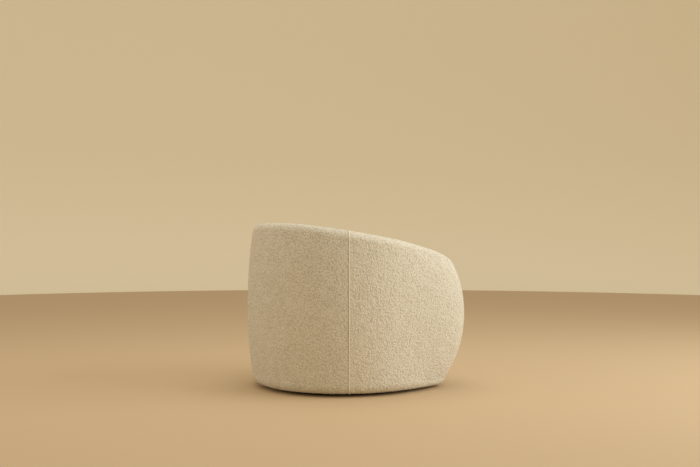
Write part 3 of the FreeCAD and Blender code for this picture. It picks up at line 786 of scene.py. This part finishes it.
def grid_object(name, rows, closed):
    """A sheet of quads through rows of points. Closed rows join end to end."""
    count = len(rows[0])
    faces = []
    for row in range(len(rows) - 1):
        for i in range(count if closed else count - 1):
            a, b = row * count + i, row * count + (i + 1) % count
            faces.append((a, b, b + count, a + count))
    return mesh_object(name, np.concatenate(rows), np.array(faces))


def underside():
    """The black cloth stretched under the frame, with a hole for the swivel bearing.

    Its flat size and area are those of the cut outline, before the cloth is shaped.
    """
    around, outward_rows = 240, 15
    turns = np.linspace(0, 2 * math.pi, around, endpoint=False)
    sine, cosine = np.sin(turns), np.cos(turns)
    reach = outer(sine, cosine, HEM_HEIGHT + HEM_ROUND) - HEM_TURN_UNDER + CLOTH_SPARE
    edge = np.stack([reach * sine, reach * cosine], axis=1)
    centre = np.array([0, SWIVEL_Y])
    outward = edge - centre
    hole = centre + outward / np.linalg.norm(outward, axis=1)[:, None] * BEARING_RADIUS
    rows = []
    for share in np.linspace(0, 1, outward_rows):
        flat = hole + (edge - hole) * share
        gathers = CLOTH_GATHER_HEIGHT * np.sin(turns * CLOTH_GATHERS) * share ** 4
        rows.append(np.column_stack([flat, CLOTH_LEVEL - CLOTH_SAG * math.sin(math.pi * share) + gathers]))
    sheet = grid_object("underside_cloth", rows, closed=True)
    dress(sheet, "shell", "black_lining")
    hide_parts("dust_cover")


def cushion_zipper(cushion):
    """Zip along the back of the cushion: two tapes with a coil of teeth between them."""
    surface = BVHTree.FromObject(cushion, bpy.context.evaluated_depsgraph_get())
    middle = (CUSHION_LOW + CUSHION_TOP) / 2
    millimetre = 0.001
    across = np.array([-8, -6, -4, -2, -1.2, -0.6, 0, 0.6, 1.2, 2, 4, 6, 8]) * millimetre
    steps, clear_of_chair = 700, 0.5
    rows = []
    for step, turn in enumerate(np.radians(np.linspace(-ZIP_TURN, ZIP_TURN, steps))):
        outward = Vector((math.sin(turn), math.cos(turn), 0))
        hit = surface.ray_cast(outward * clear_of_chair + Vector((0, 0, middle)), -outward)[0]
        radius = hit.xy.length + ZIP_LIFT
        teeth = ZIP_TOOTH_HEIGHT * (1 + math.sin(step * math.pi / 2))
        reach = radius + np.where(np.abs(across) < ZIP_TEETH_HALF_WIDTH, teeth, 0.0)
        rows.append(np.column_stack([reach * outward.x, reach * outward.y, middle + across]))
    zipper = grid_object("cushion_zipper", rows, closed=False)
    dress(zipper, "cushion", "zip_tape")
    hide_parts("cushion_zip")


# ---------------------------------------------------------------- floor, light and camera
CAMERA_TURN = 57.07
CAMERA_DISTANCE = 4.2
CAMERA_SIDESTEP = 0.0158
CAMERA_HEIGHT = 0.6287
CAMERA_LENS = 51.5
FLOOR_RADIUS = 7.0
COVE = 1.5
BACKDROP_TOP = 12.0
FLOOR_COLOUR = (0.62, 0.47, 0.29)
BACKDROP_COLOUR = (0.98, 0.92, 0.74)
WORLD_COLOUR = (0.68, 0.57, 0.42)
WORLD_STRENGTH = 0.9
LIGHTS_AIM = (0, 0, 0.3)


def stage_piece(name, rows, colour):
    """Part of the round studio floor or of the wall that rises from it, from rings of (radius, z)."""
    turns = np.linspace(0, 2 * math.pi, 180, endpoint=False)
    rings = [np.column_stack([r * np.sin(turns), r * np.cos(turns), np.full(len(turns), z)]) for r, z in rows]
    piece = grid_object(name, rings, closed=True)
    material, _, shader = new_material(name, 0.8)
    shader.inputs["Base Color"].default_value = (*colour, 1)
    piece.data.materials.append(material)
    return piece


def set_stage():
    """A round floor, a backdrop that curves up from it and casts no light, and an even sky."""
    stage_piece("floor", [(0.001, 0), (2.0, 0), (FLOOR_RADIUS, 0)], FLOOR_COLOUR)
    bend = [math.radians(angle) for angle in range(0, 91, 6)]
    cove = [(FLOOR_RADIUS + COVE * math.sin(a), COVE * (1 - math.cos(a))) for a in bend]
    wall = stage_piece("backdrop", cove + [(FLOOR_RADIUS + COVE, BACKDROP_TOP)], BACKDROP_COLOUR)
    wall.visible_diffuse = False
    wall.visible_glossy = False
    wall.visible_shadow = False
    world = bpy.data.worlds.new("world")
    world.use_nodes = True
    background = world.node_tree.nodes["Background"]
    background.inputs["Color"].default_value = (*WORLD_COLOUR, 1)
    background.inputs["Strength"].default_value = WORLD_STRENGTH
    bpy.context.scene.world = world


def area_light(name, place, size, power, colour):
    """A square lamp turned towards the chair."""
    data = bpy.data.lights.new(name, "AREA")
    data.shape = "SQUARE"
    data.size = size
    data.energy = power
    data.color = colour
    lamp = new_object(name, data)
    lamp.location = place
    lamp.rotation_euler = (Vector(LIGHTS_AIM) - lamp.location).to_track_quat("-Z", "Y").to_euler()


def camera_frame():
    """Unit vectors to the camera's right and ahead of it."""
    angle = math.radians(CAMERA_TURN)
    right = Vector((-math.cos(angle), -math.sin(angle), 0))
    ahead = Vector((math.sin(angle), -math.cos(angle), 0))
    return right, ahead


def set_lights():
    """A large window to the camera's right, a weak fill opposite it, and a lamp overhead."""
    right, ahead = camera_frame()
    up = Vector((0, 0, 1))
    area_light("window", right * 3.5 - ahead * 0.6 + up * 1.7, size=3.2, power=76, colour=(0.93, 0.97, 1.0))
    area_light("fill", -right * 3.4 - ahead * 0.6 + up * 1.6, size=2.4, power=12, colour=(1.0, 0.95, 0.86))
    area_light("overhead", up * 3.2, size=2.0, power=24, colour=(1.0, 0.96, 0.9))


def set_camera():
    """A level camera behind the chair and to one side."""
    right, ahead = camera_frame()
    data = bpy.data.cameras.new("camera")
    data.lens = CAMERA_LENS
    camera = new_object("camera", data)
    camera.location = -ahead * CAMERA_DISTANCE + right * CAMERA_SIDESTEP + Vector((0, 0, CAMERA_HEIGHT))
    camera.rotation_euler = ahead.to_track_quat("-Z", "Y").to_euler()
    bpy.context.scene.camera = camera


finish_nodes()
upholstered_body()
seam_welts()
cushion_zipper(seat_cushion())
seat_deck()
underside()
set_stage()
set_lights()
set_camera()
bpy.context.scene.view_settings.view_transform = "Standard"
